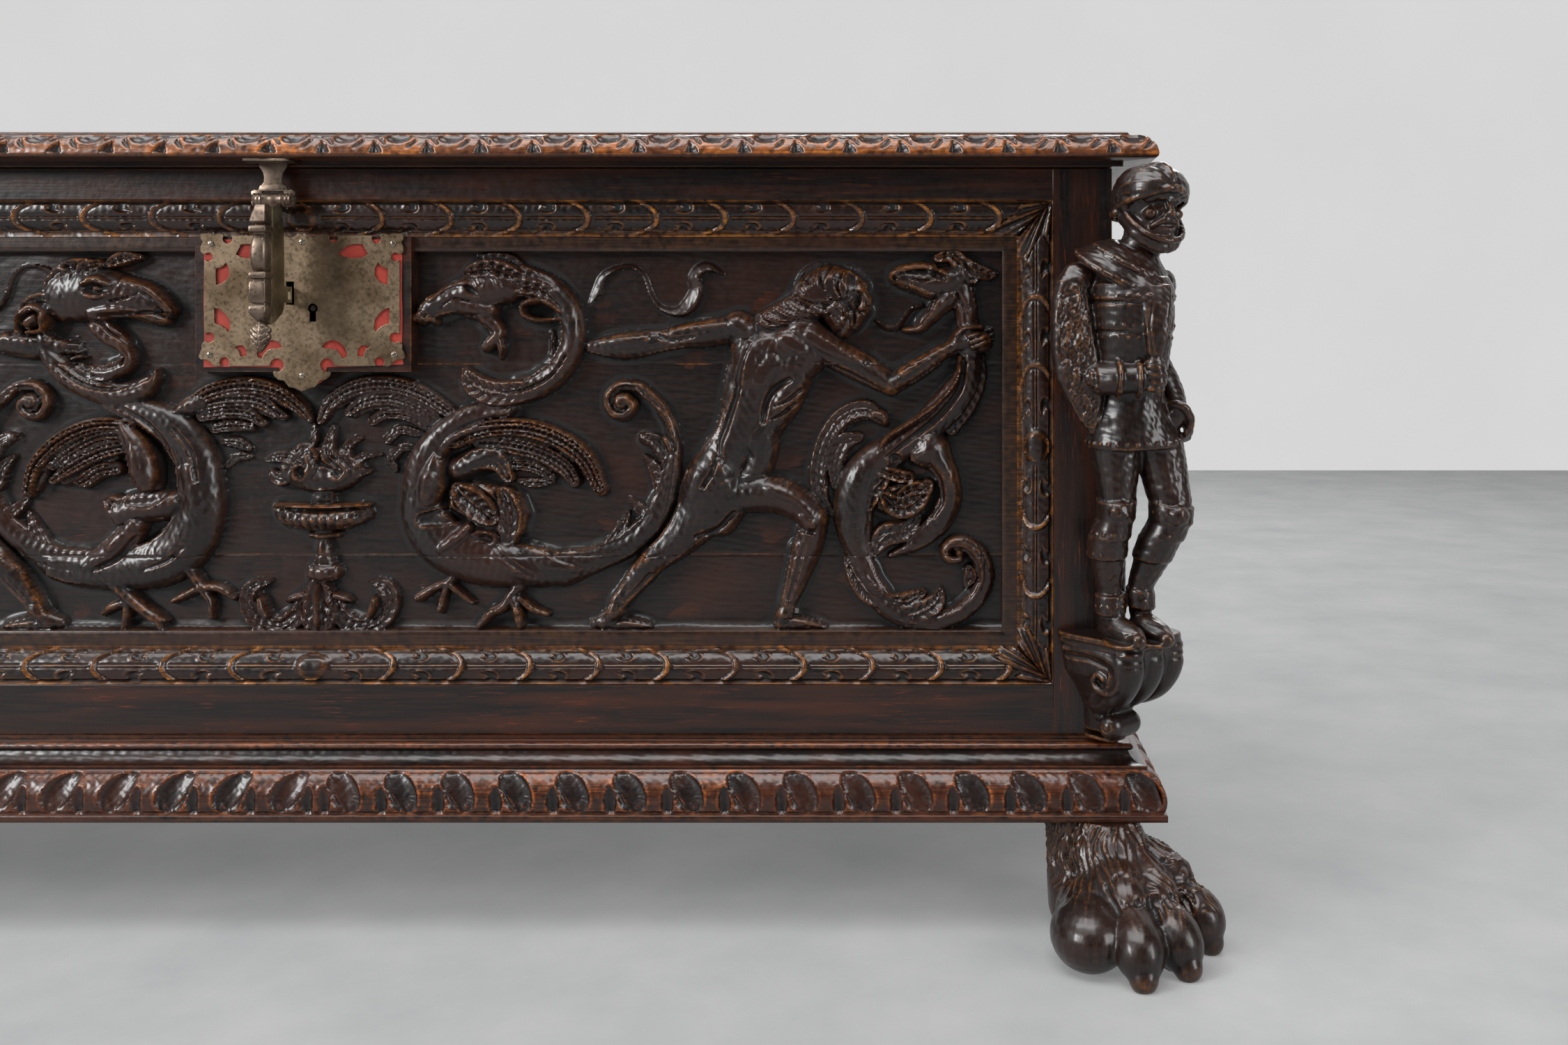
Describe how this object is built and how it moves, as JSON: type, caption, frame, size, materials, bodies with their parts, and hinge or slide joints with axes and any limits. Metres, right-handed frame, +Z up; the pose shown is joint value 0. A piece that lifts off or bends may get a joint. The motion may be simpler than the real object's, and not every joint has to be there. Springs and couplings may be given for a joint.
{
  "type": "cassone chest",
  "caption": "Carved walnut marriage chest with a hinged lid, hasp and sliding lock bolt, corner knights on brackets, gadrooned base and lion's paw feet.",
  "frame": {"origin": "on the floor, under the middle of the whole chest's box (from the front paws' toes to the lid hinges at the back)", "axes": "+X along the chest's length, to the right seen from the carved front; -Y is the carved front; +Z up"},
  "size_m": [1.7386, 0.7414, 0.761],
  "materials": {
    "walnut_frame": "dark waxed walnut, planed",
    "walnut_board": "dark stained walnut boards",
    "walnut_carved_panel": "dark waxed walnut, carved",
    "walnut_moulding": "dark waxed walnut with brown worn edges",
    "walnut_lid": "dark waxed walnut, polished",
    "walnut_figure": "dark waxed walnut, carved in the round",
    "wrought_iron": "blackened iron",
    "lock_steel": "old browned steel sheet",
    "hasp_iron": "filed and worn steel",
    "screw_steel": "bright steel screws",
    "red_cloth": "red woven cloth"
  },
  "bodies": {
    "carcase": {"front_stile_left": "walnut_frame", "front_stile_right": "walnut_frame", "front_top_rail": "walnut_frame", "front_bottom_rail": "walnut_frame", "end_board_lower_left": "walnut_board", "end_board_upper_left": "walnut_board", "end_board_lower_right": "walnut_board", "end_board_upper_right": "walnut_board", "back_stile_left": "walnut_board", "back_stile_right": "walnut_board", "back_board_lower": "walnut_board", "back_board_upper": "walnut_board", "bottom_board_front": "walnut_board", "bottom_board_back": "walnut_board", "plinth_front": "walnut_board", "plinth_back": "walnut_board", "plinth_left": "walnut_board", "plinth_right": "walnut_board", "panel_board_lower": "walnut_carved_panel", "panel_board_middle": "walnut_carved_panel", "panel_board_upper": "walnut_carved_panel", "leaf_moulding_top": "walnut_moulding", "leaf_moulding_bottom": "walnut_moulding", "leaf_moulding_left": "walnut_moulding", "leaf_moulding_right": "walnut_moulding", "base_ogee_front": "walnut_moulding", "base_ogee_left": "walnut_moulding", "base_ogee_right": "walnut_moulding", "base_gadroon_front": "walnut_moulding", "base_gadroon_left": "walnut_moulding", "base_gadroon_right": "walnut_moulding", "hinge_leaf_lower_left": "wrought_iron", "hinge_leaf_lower_right": "wrought_iron", "hinge_pins": "wrought_iron", "hinge_screws": "wrought_iron", "paw_foot_front_right": "walnut_figure", "paw_foot_front_left": "walnut_figure", "paw_foot_back_right": "walnut_figure", "paw_foot_back_left": "walnut_figure", "bracket_right": "walnut_figure", "bracket_left": "walnut_figure", "knight_right": "walnut_figure", "knight_left": "walnut_figure", "lock_plate": "lock_steel", "lock_block": "walnut_frame", "lock_screws": "screw_steel", "lock_cloth": "red_cloth", "lock_case": "wrought_iron"},
    "lid": {"lid_edge_front": "walnut_moulding", "lid_edge_left": "walnut_moulding", "lid_edge_right": "walnut_moulding", "lid_board_front": "walnut_lid", "lid_board_back": "walnut_lid", "hinge_leaf_upper_left": "wrought_iron", "hinge_leaf_upper_right": "wrought_iron", "lid_screws": "wrought_iron", "hasp_strap": "hasp_iron", "hasp_pin": "hasp_iron"},
    "hasp": {"hasp_arm": "hasp_iron"},
    "bolt": {"lock_bolt": "wrought_iron"}
  },
  "joints": [
    {"name": "lid_hinge", "type": "hinge", "parent": "carcase", "child": "lid", "pos_m": [0, 0.36525, 0.72795], "axis": [-1, 0, 0], "range_deg": [0, 95]},
    {"name": "hasp_hinge", "type": "hinge", "parent": "lid", "child": "hasp", "pos_m": [-0.036, -0.21575, 0.6952], "axis": [-1, 0, 0], "range_deg": [-8, 85]},
    {"name": "bolt_slide", "type": "slide", "parent": "carcase", "child": "bolt", "axis": [-1, 0, 0], "range_m": [0, 0.012]}
  ]
}
